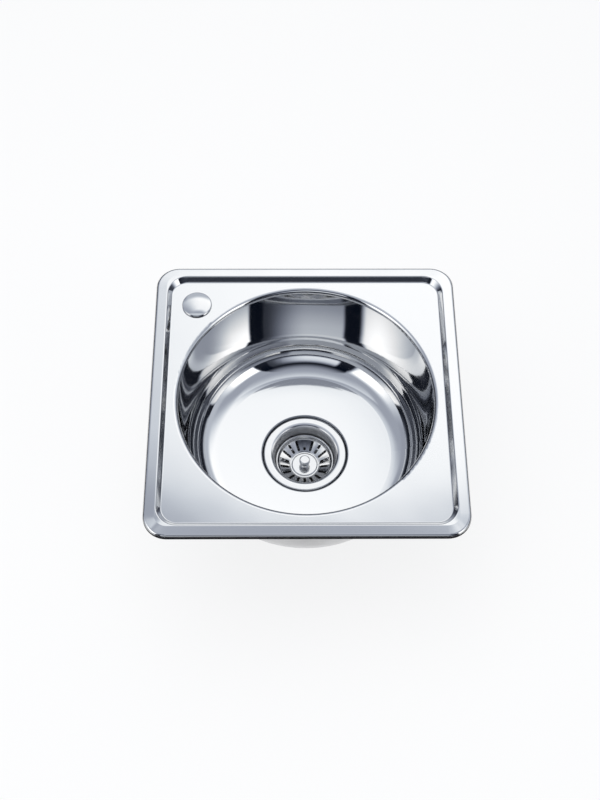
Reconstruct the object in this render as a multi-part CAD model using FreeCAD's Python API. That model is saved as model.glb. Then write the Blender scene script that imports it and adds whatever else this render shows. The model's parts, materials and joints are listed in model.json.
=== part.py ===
# Single-bowl inset kitchen sink with a basket strainer waste, as separate pieces.
# Millimetres, +Z up, +Y to the back, +X to the right.
# The origin is the centre of the rim, in the plane of the worktop that the rim rests on.
import FreeCAD, Part
import os
from math import atan2, cos, pi, radians, sin, sqrt, tan

Vector = FreeCAD.Vector
Z_AXIS = Vector(0, 0, 1)
ORIGIN = Vector(0, 0, 0)
FULL_TURN = 360.0
QUARTER_TURN = FULL_TURN / 4

# Sink pressing: rim and deck
OVERALL_WIDTH = 400.0
OVERALL_DEPTH = 400.0
CORNER_RADIUS = 30.0
RIM_HEIGHT = 8.0
RIM_EDGE_RADIUS = 4.0
RIM_BAND = 15.3
RIM_FALL = 5.0
RIM_CREST_LAND = 0.3
STEP_RUN = 5.7
STEP_RADIUS = 2.0
STEP_CORNER_RADIUS = 26.3
DECK_HEIGHT = 1.0
SHEET = 0.8

# Sink pressing: bowl and drain seat
BOWL_RADIUS = 165.0
BOWL_DEPTH = 146.5
BOWL_EDGE_RADIUS = 6.0
BOWL_FLOOR_RADIUS = 45.5
DECK_LAP = 1.5
WALL_DRAFT = 2.4
FLOOR_FALL = 5.6
DRAIN_FALL = 1.5
SEAT_DEPTH = 4.3
SEAT_WALL_RUN = 1.5
SEAT_EDGE_RADIUS = 1.6
SEAT_MARGIN = 0.9
DRAIN_CLEARANCE = 1.9

# Tap hole and its cap
TAP_HOLE_RADIUS = 17.5
TAP_INSET_X = 55.0
TAP_INSET_Y = 58.0
CAP_OVERLAP = 2.3
CAP_HEIGHT = 5.0
CAP_EDGE_HEIGHT = 2.6
CAP_EDGE_RADIUS = 1.8
CAP_CROWN_RADIUS = 70.0
CAP_FLOAT = 0.4
CAP_SHEET = 0.8
CAP_SEAL_THICKNESS = 1.0
CAP_PLATE_THICKNESS = 0.8
PLUG_CLEARANCE = 0.6
PLUG_WALL = 2.0
PLUG_LENGTH = 12.0
PLUG_BARB = 0.25
PLUG_BARB_HEIGHT = 3.0
PLUG_LEGS = 4
PLUG_SLOT_WIDTH = 3.0

# Rim gasket and sound pad
GASKET_WIDTH = 8.0
GASKET_MARGIN = 0.5
GASKET_GLUE = 0.1
PAD_THICKNESS = 3.0
PAD_GLUE = 0.1
PAD_MARGIN = 4.0

# Strainer cup
CUP_SHEET = 0.8
FLANGE_RADIUS = 57.0
FLANGE_LIP_DROP = 1.8
FLANGE_LIP_RUN = 0.6
FLANGE_LIP_RADIUS = 1.4
FLANGE_GASKET_THICKNESS = 2.0
FLANGE_GASKET_MARGIN = 0.4
THROAT_RADIUS = 42.5
THROAT_ROUND = 7.0
CUP_DEPTH = 49.0
CUP_BASE_RADIUS = 41.0
CUP_BASE_ROUND = 6.0
CUP_HOLE_RADIUS = 3.4
CUP_INNER_HOLES = 6
CUP_INNER_RING_RADIUS = 14.5
CUP_OUTER_HOLES = 12
CUP_OUTER_RING_RADIUS = 22.5

# Waste body and its fixing
BODY_WALL = 3.0
BODY_CLEARANCE = 2.4
BODY_FLANGE_RADIUS = 57.0
BODY_FLANGE_THICKNESS = 4.0
BODY_SUMP = 6.0
BODY_CONE_DROP = 17.0
BODY_ROUND = 6.0
BODY_RIBS = 8
BODY_RIB_THICKNESS = 2.5
BODY_RIB_HEIGHT = 16.0
LOWER_GASKET_THICKNESS = 3.0
LOWER_GASKET_MARGIN = 0.7
OUTLET_RADIUS = 23.9
OUTLET_LENGTH = 26.0
BOSS_RADIUS = 12.5
BOSS_LENGTH = 18.0
BOSS_ARMS = 4
BOSS_ARM_THICKNESS = 3.0
BOSS_GAP = 4.0
SCREW_RADIUS = 5.0
SCREW_CLEARANCE = 0.5
SCREW_HEAD_RADIUS = 9.0
SCREW_HEAD_HEIGHT = 5.0
SCREW_TAIL = 3.0
SOCKET_DEPTH = 10.0
SEAL_THICKNESS = 1.5
INSERT_FLATS = 17.0
INSERT_HEIGHT = 8.0
THREAD_CLEARANCE = 0.05
POCKET_CLEARANCE = 0.1

# Strainer basket
BASKET_SHEET = 0.8
BASKET_RIM_RADIUS = 40.5
BASKET_RIM_WIDTH = 2.4
BASKET_RIM_LIP = 1.6
BASKET_RIM_ROUND = 1.2
BASKET_RIM_DROP = 18.5
BASKET_WALL_RUN = 2.2
BASKET_WALL_DROP = 5.4
BASKET_KNEE_ROUND = 2.0
BASKET_DEPTH = 15.0
BASKET_FLOOR_RADIUS = 20.0
BASKET_FLOOR_ROUND = 1.5
BASKET_BOSS_RADIUS = 17.0
BASKET_BOSS_RISE = 1.0
BASKET_BOSS_RUN = 1.2
BASKET_BOSS_ROUND = 1.1
SLOT_COUNT = 18
SLOT_WIDTH = 3.6
SLOT_INSET = 2.0
SLOT_MARGIN = 0.7
SHORT_SLOT_LENGTH = 4.5
STEM_RADIUS = 3.0
STEM_CLEARANCE = 0.1
STEM_ENGAGEMENT = 8.0
STEM_RING_SECTION = 0.6
STEM_RING_CLEARANCE = 0.05
KNOB_RADIUS = 7.5
KNOB_HEIGHT = 14.5
KNOB_HEAD_HEIGHT = 7.5
KNOB_NECK_RADIUS = 4.6
KNOB_COLLAR_RADIUS = 6.0
KNOB_COLLAR_HEIGHT = 1.6
KNOB_ROUND = 2.2
KNOB_CAP_WALL = 4.0
STOPPER_RADIUS = 31.0
STOPPER_WALL = 2.5
STOPPER_TOP_RADIUS = 13.0
STOPPER_LIP_HEIGHT = 4.0
STOPPER_LIP_RUN = 1.6
STOPPER_ROUND = 4.0
STOPPER_FLOAT = 0.3
WASHER_RADIUS = 9.0
WASHER_THICKNESS = 1.2
STEM_NUT_FLATS = 10.0
STEM_NUT_HEIGHT = 4.0

# Clamp clips
CLIP_INSET = 33.0
CLIP_BOWL_CLEARANCE = 3.75
CLIP_COUNT = 4
LUG_SHEET = 1.5
LUG_WIDTH = 16.0
LUG_SPAN = 20.0
LUG_DROP = 22.0
LUG_FOOT = 11.0
LUG_ROUND = 2.5
CLIP_NUT_SIDE = 9.0
CLIP_NUT_HEIGHT = 4.0
CLIP_SCREW_RADIUS = 2.5
CLIP_SCREW_CLEARANCE = 0.1
CLIP_SCREW_ENTRY = 3.0
CLIP_HEAD_FLATS = 8.0
CLIP_HEAD_HEIGHT = 3.0
CLIP_FLANGE_RADIUS = 6.5
CLIP_FLANGE_HEIGHT = 1.0
CLAW_SHEET = 2.0
CLAW_WIDTH = 16.0
CLAW_REACH = 28.0
CLAW_HEEL = 9.0
CLAW_LEAN = 2.0
CLAW_ROUND = 4.0
CLAW_RISE = 14.0
CLAW_TEETH = 4
CLAW_TOOTH_DEPTH = 2.0
WORKTOP_THICKEST = 40.0

# Heights and radii that follow from the values above
half_width = OVERALL_WIDTH / 2
half_depth = OVERALL_DEPTH / 2
deck_under = DECK_HEIGHT - SHEET
step_rise = RIM_HEIGHT - DECK_HEIGHT
step_turn = atan2(step_rise, STEP_RUN)
step_radius = min(STEP_RADIUS, 0.45 * step_rise)
rim_slope = tan(radians(RIM_FALL))
crest_reach = RIM_BAND - step_radius * tan(step_turn / 2) - RIM_CREST_LAND
bowl_mouth = BOWL_RADIUS + BOWL_EDGE_RADIUS + DECK_LAP
bowl_foot_z = DECK_HEIGHT - BOWL_DEPTH
bowl_foot_radius = BOWL_RADIUS - BOWL_DEPTH * tan(radians(WALL_DRAFT))
seat_radius = FLANGE_RADIUS + SEAT_MARGIN
seat_mouth = seat_radius + SEAT_WALL_RUN
floor_start = bowl_foot_radius - BOWL_FLOOR_RADIUS
floor_end = seat_mouth + SEAT_EDGE_RADIUS
floor_middle = (floor_start + floor_end) / 2
floor_start_z = bowl_foot_z - BOWL_FLOOR_RADIUS * tan(radians(FLOOR_FALL))
floor_middle_z = floor_start_z - (floor_start - floor_middle) * tan(radians(FLOOR_FALL))
floor_round = (floor_start - floor_middle) / tan(radians(FLOOR_FALL - DRAIN_FALL) / 2)
seat_mouth_z = floor_middle_z - (floor_middle - seat_mouth) * tan(radians(DRAIN_FALL))
seat_z = seat_mouth_z - SEAT_DEPTH
seat_under = seat_z - SHEET
cup_outer = THROAT_RADIUS + CUP_SHEET
flange_z = seat_z + FLANGE_GASKET_THICKNESS + CUP_SHEET
drain_radius = cup_outer + DRAIN_CLEARANCE
cup_base_z = flange_z - CUP_DEPTH
cup_under = cup_base_z - CUP_SHEET
body_top = seat_under - LOWER_GASKET_THICKNESS
body_inner = cup_outer + BODY_CLEARANCE
body_outer = body_inner + BODY_WALL
sump_z = cup_under - BODY_SUMP
outlet_inner = OUTLET_RADIUS - BODY_WALL
outlet_top = sump_z - BODY_CONE_DROP
outlet_end = outlet_top - OUTLET_LENGTH
boss_top = cup_under - BOSS_GAP
boss_end = boss_top - BOSS_LENGTH
screw_head_top = cup_base_z + SEAL_THICKNESS + SCREW_HEAD_HEIGHT
socket_radius = STEM_RADIUS + STEM_CLEARANCE
basket_rim_z = flange_z - BASKET_RIM_DROP
basket_floor_z = basket_rim_z - BASKET_DEPTH
basket_boss_z = basket_floor_z + BASKET_BOSS_RISE
basket_wall_top = BASKET_RIM_RADIUS - BASKET_RIM_WIDTH
basket_cone_top = basket_wall_top - BASKET_WALL_RUN
basket_knee_z = basket_rim_z - BASKET_WALL_DROP
stopper_top = basket_boss_z - BASKET_SHEET
washer_top = stopper_top - STOPPER_WALL
stem_nut_top = washer_top - WASHER_THICKNESS
stem_end = screw_head_top - STEM_ENGAGEMENT
tap_x = TAP_INSET_X - half_width
tap_y = half_depth - TAP_INSET_Y
cap_radius = TAP_HOLE_RADIUS + CAP_OVERLAP
plug_radius = TAP_HOLE_RADIUS - PLUG_CLEARANCE
plug_plate_radius = cap_radius - CAP_SHEET - CAP_FLOAT
lug_foot_end = LUG_SPAN / 2 + LUG_FOOT
lug_base_under = deck_under - LUG_DROP - LUG_SHEET
clip_nut_under = lug_base_under - CLIP_NUT_HEIGHT
claw_tip_z = -WORKTOP_THICKEST
claw_z = claw_tip_z - CLAW_RISE
clip_screw_top = lug_base_under + LUG_SHEET + CLIP_SCREW_ENTRY


def line(start, end):
    """A straight edge between two points."""
    return Part.LineSegment(start, end).toShape()


def in_plane(point):
    """A (radius, height) pair as a point of the XZ plane."""
    return Vector(point[0], 0, point[1])


def rounded_edges(points, radii):
    """Edges along an open outline in the XZ plane, with a tangent arc at each inner corner."""
    corners = [in_plane(point) for point in points]
    edges = []
    start = corners[0]
    for before, corner, after, radius in zip(corners, corners[1:], corners[2:], radii):
        back = (before - corner).normalize()
        ahead = (after - corner).normalize()
        half_angle = back.getAngle(ahead) / 2
        reach = radius / tan(half_angle)
        middle = corner + (back + ahead).normalize() * (radius / sin(half_angle) - radius)
        arc_start = corner + back * reach
        arc_end = corner + ahead * reach
        edges.append(line(start, arc_start))
        edges.append(Part.Arc(arc_start, middle, arc_end).toShape())
        start = arc_end
    edges.append(line(start, corners[-1]))
    return edges


def offset_outline(points, radii, distance):
    """The outline and its corner radii, moved to the left of its direction by a distance."""
    corners = [in_plane(point) for point in points]
    headings = [(end - start).normalize() for start, end in zip(corners, corners[1:])]
    normals = [Vector(-heading.z, 0, heading.x) for heading in headings]
    moved = [corners[0] + normals[0] * distance]
    moved_radii = []
    for index, radius in enumerate(radii):
        bisector = normals[index] + normals[index + 1]
        stretch = 2 * distance / bisector.dot(bisector)
        moved.append(corners[index + 1] + bisector * stretch)
        turn = headings[index].cross(headings[index + 1]).y
        moved_radii.append(radius + distance if turn > 0 else radius - distance)
    moved.append(corners[-1] + normals[-1] * distance)
    return [(corner.x, corner.z) for corner in moved], moved_radii


def sheet_face(points, radii, thickness):
    """A strip of even thickness to the left of an outline, as a face in the XZ plane."""
    far_points, far_radii = offset_outline(points, radii, thickness)
    near = rounded_edges(points, radii)
    far = rounded_edges(far_points, far_radii)
    ends = [
        line(in_plane(points[-1]), in_plane(far_points[-1])),
        line(in_plane(far_points[0]), in_plane(points[0])),
    ]
    return Part.Face(Part.Wire(Part.__sortEdges__(near + far + ends)))


def revolve(face):
    """A full turn of a face about the Z axis."""
    return face.revolve(ORIGIN, Z_AXIS, FULL_TURN)


def revolved_sheet(points, radii, thickness):
    """A spun or pressed shell of even thickness."""
    return revolve(sheet_face(points, radii, thickness))


def turned(points):
    """A turned solid from a closed outline of (radius, height) corners."""
    corners = [in_plane(point) for point in points]
    return revolve(Part.Face(Part.makePolygon(corners + corners[:1])))


def cylinder(radius, bottom, top):
    """An upright cylinder on the Z axis."""
    return Part.makeCylinder(radius, top - bottom, Vector(0, 0, bottom))


def ring(inner, outer, bottom, top):
    """An upright ring on the Z axis."""
    return cylinder(outer, bottom, top).cut(cylinder(inner, bottom, top))


def hexagon(flats, bottom, top):
    """An upright hexagonal prism on the Z axis, from its width across flats."""
    radius = flats / 2 / cos(pi / 6)
    corners = [Vector(radius * cos(k * pi / 3), radius * sin(k * pi / 3), bottom) for k in range(6)]
    return Part.Face(Part.makePolygon(corners + corners[:1])).extrude(Vector(0, 0, top - bottom))


def rounded_plate(half_x, half_y, radius, bottom, top):
    """An upright prism with a rounded rectangle as its outline."""
    diagonal = radius * cos(pi / 4)
    edges = []
    for side_x, side_y in ((1, 1), (-1, 1), (-1, -1), (1, -1)):
        centre = Vector(side_x * (half_x - radius), side_y * (half_y - radius), bottom)
        along_x = centre + Vector(side_x * radius, 0, 0)
        along_y = centre + Vector(0, side_y * radius, 0)
        middle = centre + Vector(side_x * diagonal, side_y * diagonal, 0)
        edges.append(Part.Arc(along_x, middle, along_y).toShape())
    for side in (1, -1):
        long_x = half_x - radius
        long_y = half_y - radius
        edges.append(line(Vector(-long_x, side * half_y, bottom), Vector(long_x, side * half_y, bottom)))
        edges.append(line(Vector(side * half_x, -long_y, bottom), Vector(side * half_x, long_y, bottom)))
    outline = Part.Wire(Part.__sortEdges__(edges))
    return Part.Face(outline).extrude(Vector(0, 0, top - bottom))


def level_edges(solid, height, half_x, half_y):
    """The edges of a solid that lie at one height, within a half-width and a half-depth of the middle."""
    near = 0.001
    return [
        edge
        for edge in solid.Edges
        if abs(edge.BoundBox.ZMin - height) < near
        and abs(edge.BoundBox.ZMax - height) < near
        and max(edge.BoundBox.XMax, -edge.BoundBox.XMin) < half_x + near
        and max(edge.BoundBox.YMax, -edge.BoundBox.YMin) < half_y + near
    ]


def sloped_plate(half_x, half_y, radius, bottom, top, run):
    """A rounded plate whose top falls outward at the rim's slope, over a run in from its edge."""
    plate = rounded_plate(half_x, half_y, radius, bottom, top)
    return plate.makeChamfer(run * rim_slope, run, level_edges(plate, top, half_x, half_y))


def moved(shape, x, y, z):
    """A copy of a shape, moved."""
    copy = shape.copy()
    copy.translate(Vector(x, y, z))
    return copy


def spun(shape, degrees):
    """A copy of a shape, turned about the Z axis."""
    copy = shape.copy()
    copy.rotate(ORIGIN, Z_AXIS, degrees)
    return copy


def polar(shape, count):
    """Evenly spaced copies of a shape about the Z axis."""
    return [spun(shape, FULL_TURN * k / count) for k in range(count)]


def rim_form(inset, bottom):
    """The solid under the sink's upper face, drawn in by an inset that the sheet's inner face has."""
    top = RIM_HEIGHT - inset
    half_x = half_width - inset
    half_y = half_depth - inset
    shift = inset * tan(step_turn / 2)
    crest_x = half_width - RIM_BAND + shift
    crest_y = half_depth - RIM_BAND + shift
    deck = DECK_HEIGHT - inset
    fall_run = crest_reach - inset + inset * tan(radians(RIM_FALL) / 2)
    edge_z = top - fall_run * rim_slope
    block = sloped_plate(half_x, half_y, CORNER_RADIUS - inset, bottom, top, fall_run)
    block = block.makeFillet(RIM_EDGE_RADIUS - inset, level_edges(block, edge_z, half_x, half_y))
    well = rounded_plate(crest_x, crest_y, STEP_CORNER_RADIUS + shift, deck, top + RIM_HEIGHT)
    well = well.makeChamfer(step_rise, STEP_RUN, level_edges(well, deck, crest_x, crest_y))
    well = well.makeFillet(step_radius + inset, level_edges(well, deck, crest_x, crest_y))
    block = block.cut(well)
    return block.makeFillet(step_radius - inset, level_edges(block, top, crest_x, crest_y))


def bowl_outline():
    """Corners and radii of the bowl's inner face, from the deck to the drain hole."""
    points = [
        (bowl_mouth, DECK_HEIGHT),
        (BOWL_RADIUS, DECK_HEIGHT),
        (bowl_foot_radius, bowl_foot_z),
        (floor_middle, floor_middle_z),
        (seat_mouth, seat_mouth_z),
        (seat_radius, seat_z),
        (drain_radius, seat_z),
    ]
    radii = [BOWL_EDGE_RADIUS, BOWL_FLOOR_RADIUS, floor_round, SEAT_EDGE_RADIUS, SEAT_EDGE_RADIUS]
    return points, radii


def sink_shell():
    """The pressing: folded rim, bevelled step, deck, bowl, drain seat and tap hole in one sheet."""
    skirt_end = min(0.0, deck_under) - SHEET
    rim = rim_form(0.0, skirt_end).cut(rim_form(SHEET, skirt_end - SHEET))
    crest_x = half_width - RIM_BAND
    crest_y = half_depth - RIM_BAND
    below = rounded_plate(half_width + SHEET, half_depth + SHEET, CORNER_RADIUS, skirt_end - SHEET, 0.0)
    below = below.cut(rounded_plate(crest_x, crest_y, STEP_CORNER_RADIUS, skirt_end - SHEET, 0.0))
    rim = rim.cut(below)
    rim = rim.cut(cylinder(bowl_mouth, skirt_end, RIM_HEIGHT))
    tap_hole = moved(cylinder(TAP_HOLE_RADIUS, skirt_end, RIM_HEIGHT), tap_x, tap_y, 0)
    bowl = revolved_sheet(*bowl_outline(), SHEET)
    return rim.fuse(bowl).cut(tap_hole).removeSplitter()


def rim_gasket():
    """Foam strip glued under the sloping rim, flush with the rim's lower edge."""
    reach = RIM_EDGE_RADIUS + GASKET_MARGIN
    outer = (half_width - reach, half_depth - reach, CORNER_RADIUS - reach)
    inner = [size - GASKET_WIDTH for size in outer]
    crest_run = crest_reach - reach - GASKET_WIDTH
    top = RIM_HEIGHT - SHEET / cos(radians(RIM_FALL)) - crest_run * rim_slope - GASKET_GLUE
    strip = sloped_plate(*outer, 0.0, top, GASKET_WIDTH)
    return strip.cut(rounded_plate(*inner, 0.0, top))


def sound_pad():
    """Damping ring under the dished bowl floor."""
    points = [(floor_start, floor_start_z), (floor_middle, floor_middle_z), (seat_mouth, seat_mouth_z)]
    layer = revolved_sheet(*offset_outline(points, [floor_round], SHEET + PAD_GLUE), PAD_THICKNESS)
    bottom = seat_mouth_z - SHEET - PAD_GLUE - 2 * PAD_THICKNESS
    return layer.common(ring(seat_mouth + PAD_MARGIN, floor_start - PAD_MARGIN, bottom, floor_start_z))


def strainer_cup():
    """Flanged cup in the drain hole, with rings of drain holes in its base."""
    points = [
        (FLANGE_RADIUS, flange_z - FLANGE_LIP_DROP),
        (FLANGE_RADIUS - FLANGE_LIP_RUN, flange_z),
        (THROAT_RADIUS, flange_z),
        (CUP_BASE_RADIUS, cup_base_z),
        (SCREW_RADIUS + SCREW_CLEARANCE, cup_base_z),
    ]
    cup = revolved_sheet(points, [FLANGE_LIP_RADIUS, THROAT_ROUND, CUP_BASE_ROUND], CUP_SHEET)
    hole = cylinder(CUP_HOLE_RADIUS, cup_under, cup_base_z)
    holes = polar(moved(hole, CUP_INNER_RING_RADIUS, 0, 0), CUP_INNER_HOLES)
    holes += polar(moved(hole, CUP_OUTER_RING_RADIUS, 0, 0), CUP_OUTER_HOLES)
    return cup.cut(Part.makeCompound(holes))


def flange_gasket():
    """Flat ring between the cup's flange and the drain seat."""
    inner = THROAT_RADIUS + THROAT_ROUND + FLANGE_GASKET_MARGIN
    outer = FLANGE_RADIUS - FLANGE_LIP_RUN - FLANGE_LIP_RADIUS + FLANGE_GASKET_MARGIN
    return ring(inner, outer, seat_z, seat_z + FLANGE_GASKET_THICKNESS)


def lower_gasket():
    """Flat ring between the underside of the drain seat and the waste body."""
    inner = body_inner + LOWER_GASKET_MARGIN
    outer = BODY_FLANGE_RADIUS - LOWER_GASKET_MARGIN
    return ring(inner, outer, body_top, seat_under)


def waste_body():
    """Moulded lower half of the waste: flange, sump, cone, outlet, ribs and centre boss."""
    points = [
        (body_inner, body_top),
        (body_inner, sump_z),
        (outlet_inner, outlet_top),
        (outlet_inner, outlet_end),
    ]
    radii = [BODY_ROUND, BODY_ROUND]
    wall = revolved_sheet(points, radii, BODY_WALL)
    filling = revolve(Part.Face(Part.Wire(Part.__sortEdges__(
        rounded_edges(points, radii)
        + [
            line(in_plane(points[0]), Vector(0, 0, body_top)),
            line(Vector(0, 0, body_top), Vector(0, 0, outlet_end)),
            line(Vector(0, 0, outlet_end), in_plane(points[-1])),
        ]
    ))))
    flange = ring(body_inner, BODY_FLANGE_RADIUS, body_top - BODY_FLANGE_THICKNESS, body_top)
    arm = Part.makeBox(
        body_outer,
        BOSS_ARM_THICKNESS,
        BOSS_LENGTH,
        Vector(0, -BOSS_ARM_THICKNESS / 2, boss_end),
    )
    arms = [piece.common(filling) for piece in polar(arm, BOSS_ARMS)]
    rib_top = body_top - BODY_FLANGE_THICKNESS
    rib_start = (body_inner + body_outer) / 2
    rib_corners = [
        Vector(rib_start, -BODY_RIB_THICKNESS / 2, rib_top),
        Vector(BODY_FLANGE_RADIUS, -BODY_RIB_THICKNESS / 2, rib_top),
        Vector(body_outer, -BODY_RIB_THICKNESS / 2, rib_top - BODY_RIB_HEIGHT),
        Vector(rib_start, -BODY_RIB_THICKNESS / 2, rib_top - BODY_RIB_HEIGHT),
    ]
    rib = Part.Face(Part.makePolygon(rib_corners + rib_corners[:1])).extrude(Vector(0, BODY_RIB_THICKNESS, 0))
    boss = cylinder(BOSS_RADIUS, boss_end, boss_top)
    body = wall.multiFuse([flange, boss] + arms + polar(rib, BODY_RIBS))
    pocket = hexagon(INSERT_FLATS + 2 * POCKET_CLEARANCE, boss_end, boss_end + INSERT_HEIGHT)
    bore = cylinder(SCREW_RADIUS + SCREW_CLEARANCE, boss_end, boss_top)
    return body.cut(pocket).cut(bore).removeSplitter()


def insert_nut():
    """Brass nut in the pocket of the centre boss."""
    nut = hexagon(INSERT_FLATS, boss_end, boss_end + INSERT_HEIGHT)
    return nut.cut(cylinder(SCREW_RADIUS + THREAD_CLEARANCE, boss_end, boss_end + INSERT_HEIGHT))


def centre_screw():
    """Clamp screw of the waste, with a socket in its head for the basket's stem."""
    head_bottom = cup_base_z + SEAL_THICKNESS
    head = cylinder(SCREW_HEAD_RADIUS, head_bottom, screw_head_top)
    head = head.makeFillet(SEAL_THICKNESS, level_edges(head, screw_head_top, SCREW_HEAD_RADIUS, SCREW_HEAD_RADIUS))
    shank = cylinder(SCREW_RADIUS, boss_end - SCREW_TAIL, head_bottom)
    socket = cylinder(socket_radius, screw_head_top - SOCKET_DEPTH, screw_head_top)
    return head.fuse(shank).cut(socket)


def screw_seal():
    """Rubber washer between the screw's head and the cup's base."""
    return ring(SCREW_RADIUS + SCREW_CLEARANCE, SCREW_HEAD_RADIUS, cup_base_z, cup_base_z + SEAL_THICKNESS)


def basket_slot(inner, outer):
    """Cutter for one radial slot with round ends, towards +X."""
    half = SLOT_WIDTH / 2
    height = BASKET_DEPTH + 2 * BASKET_SHEET
    bottom = basket_floor_z - BASKET_SHEET
    corner_a = Vector(inner + half, -half, bottom)
    corner_b = Vector(outer - half, -half, bottom)
    corner_c = Vector(outer - half, half, bottom)
    corner_d = Vector(inner + half, half, bottom)
    outline = Part.Wire([
        line(corner_a, corner_b),
        Part.Arc(corner_b, Vector(outer, 0, bottom), corner_c).toShape(),
        line(corner_c, corner_d),
        Part.Arc(corner_d, Vector(inner, 0, bottom), corner_a).toShape(),
    ])
    return Part.Face(outline).extrude(Vector(0, 0, height))


def basket_dish():
    """Strainer basket with a rolled rim, short wall, slotted cone and raised centre. The back slot is short."""
    points = [
        (BASKET_RIM_RADIUS, basket_rim_z - BASKET_RIM_LIP),
        (BASKET_RIM_RADIUS, basket_rim_z),
        (basket_wall_top, basket_rim_z),
        (basket_cone_top, basket_knee_z),
        (BASKET_FLOOR_RADIUS, basket_floor_z),
        (BASKET_BOSS_RADIUS + BASKET_BOSS_RUN, basket_floor_z),
        (BASKET_BOSS_RADIUS, basket_boss_z),
        (STEM_RADIUS + THREAD_CLEARANCE, basket_boss_z),
    ]
    radii = [
        BASKET_RIM_ROUND,
        BASKET_RIM_ROUND,
        BASKET_KNEE_ROUND,
        BASKET_FLOOR_ROUND,
        BASKET_BOSS_ROUND,
        BASKET_BOSS_ROUND,
    ]
    dish = revolved_sheet(points, radii, BASKET_SHEET)
    inner = BASKET_FLOOR_RADIUS + SLOT_INSET
    slot = basket_slot(inner, basket_cone_top - SLOT_MARGIN)
    short_slot = basket_slot(inner, inner + SHORT_SLOT_LENGTH)
    back = SLOT_COUNT // 4
    first = QUARTER_TURN - FULL_TURN * back / SLOT_COUNT
    slots = polar(spun(slot, first), SLOT_COUNT)
    slots[back] = spun(short_slot, QUARTER_TURN)
    return dish.cut(Part.makeCompound(slots))


def basket_knob():
    """Turned pull knob, with a blind hole for the stem."""
    head_z = basket_boss_z + KNOB_HEIGHT - KNOB_HEAD_HEIGHT
    top = basket_boss_z + KNOB_HEIGHT
    collar_z = basket_boss_z + KNOB_COLLAR_HEIGHT
    points = [
        (0, basket_boss_z),
        (KNOB_COLLAR_RADIUS, basket_boss_z),
        (KNOB_COLLAR_RADIUS, collar_z),
        (KNOB_NECK_RADIUS, collar_z + KNOB_COLLAR_HEIGHT),
        (KNOB_NECK_RADIUS, head_z),
        (KNOB_RADIUS, head_z),
        (KNOB_RADIUS, top),
        (0, top),
    ]
    knob = turned(points)
    rims = [edge for z in (top, head_z) for edge in level_edges(knob, z, KNOB_RADIUS, KNOB_RADIUS)]
    rims = [edge for edge in rims if edge.BoundBox.XMax > KNOB_NECK_RADIUS + THREAD_CLEARANCE]
    knob = knob.makeFillet(KNOB_ROUND, rims)
    return knob.cut(cylinder(STEM_RADIUS + THREAD_CLEARANCE, basket_boss_z, top - KNOB_CAP_WALL))


def ring_groove_height():
    """Height of the stem's grip ring, half-way down its engagement in the socket."""
    return screw_head_top - STEM_ENGAGEMENT / 2


def stem_ring_radius():
    """Centre-line radius of the grip ring, which clears the socket's wall."""
    return socket_radius - STEM_RING_CLEARANCE - STEM_RING_SECTION


def basket_stem():
    """Rod from the knob to the socket, with a groove for the grip ring and a rounded end."""
    rod = cylinder(STEM_RADIUS, stem_end, basket_boss_z + KNOB_HEIGHT - KNOB_CAP_WALL)
    rod = rod.makeChamfer(STEM_RADIUS / 3, level_edges(rod, stem_end, STEM_RADIUS, STEM_RADIUS))
    height = ring_groove_height()
    floor = stem_ring_radius() - STEM_RING_SECTION
    return rod.cut(ring(floor, STEM_RADIUS, height - STEM_RING_SECTION, height + STEM_RING_SECTION))


def stem_ring():
    """Rubber ring in the stem's groove."""
    return Part.makeTorus(stem_ring_radius(), STEM_RING_SECTION, Vector(0, 0, ring_groove_height()))


def basket_stopper():
    """Rubber bell under the basket, whose lip closes on the cup's base outside the drain holes."""
    lip_z = cup_base_z + STOPPER_FLOAT
    points = [
        (STOPPER_RADIUS, lip_z),
        (STOPPER_RADIUS - STOPPER_LIP_RUN, lip_z + STOPPER_LIP_HEIGHT),
        (STOPPER_TOP_RADIUS, stopper_top),
        (STEM_RADIUS + THREAD_CLEARANCE, stopper_top),
    ]
    bell = revolved_sheet(points, [STOPPER_ROUND, STOPPER_ROUND], STOPPER_WALL)
    floor_cut = cylinder(STOPPER_RADIUS, cup_base_z - STOPPER_WALL, lip_z)
    return bell.cut(floor_cut)


def stopper_washer():
    """Flat washer under the rubber bell."""
    return ring(STEM_RADIUS + THREAD_CLEARANCE, WASHER_RADIUS, stem_nut_top, washer_top)


def stem_nut():
    """Nut that clamps bell and dish on the stem."""
    bottom = stem_nut_top - STEM_NUT_HEIGHT
    nut = hexagon(STEM_NUT_FLATS, bottom, stem_nut_top)
    return nut.cut(cylinder(STEM_RADIUS + THREAD_CLEARANCE, bottom, stem_nut_top))


def tap_cap_dome():
    """Domed cover of the tap hole, which floats just over the deck on its seal."""
    edge_z = DECK_HEIGHT + CAP_FLOAT
    points = [
        (cap_radius, edge_z),
        (cap_radius, DECK_HEIGHT + CAP_EDGE_HEIGHT),
        (cap_radius / 2, DECK_HEIGHT + CAP_HEIGHT),
        (0, DECK_HEIGHT + CAP_HEIGHT),
    ]
    dome = revolved_sheet(points, [CAP_EDGE_RADIUS, CAP_CROWN_RADIUS], CAP_SHEET)
    return moved(dome, tap_x, tap_y, 0)


def tap_cap_seal():
    """Rubber ring between the deck and the plug's plate."""
    return moved(
        ring(TAP_HOLE_RADIUS, plug_plate_radius, DECK_HEIGHT, DECK_HEIGHT + CAP_SEAL_THICKNESS),
        tap_x,
        tap_y,
        0,
    )


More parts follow.
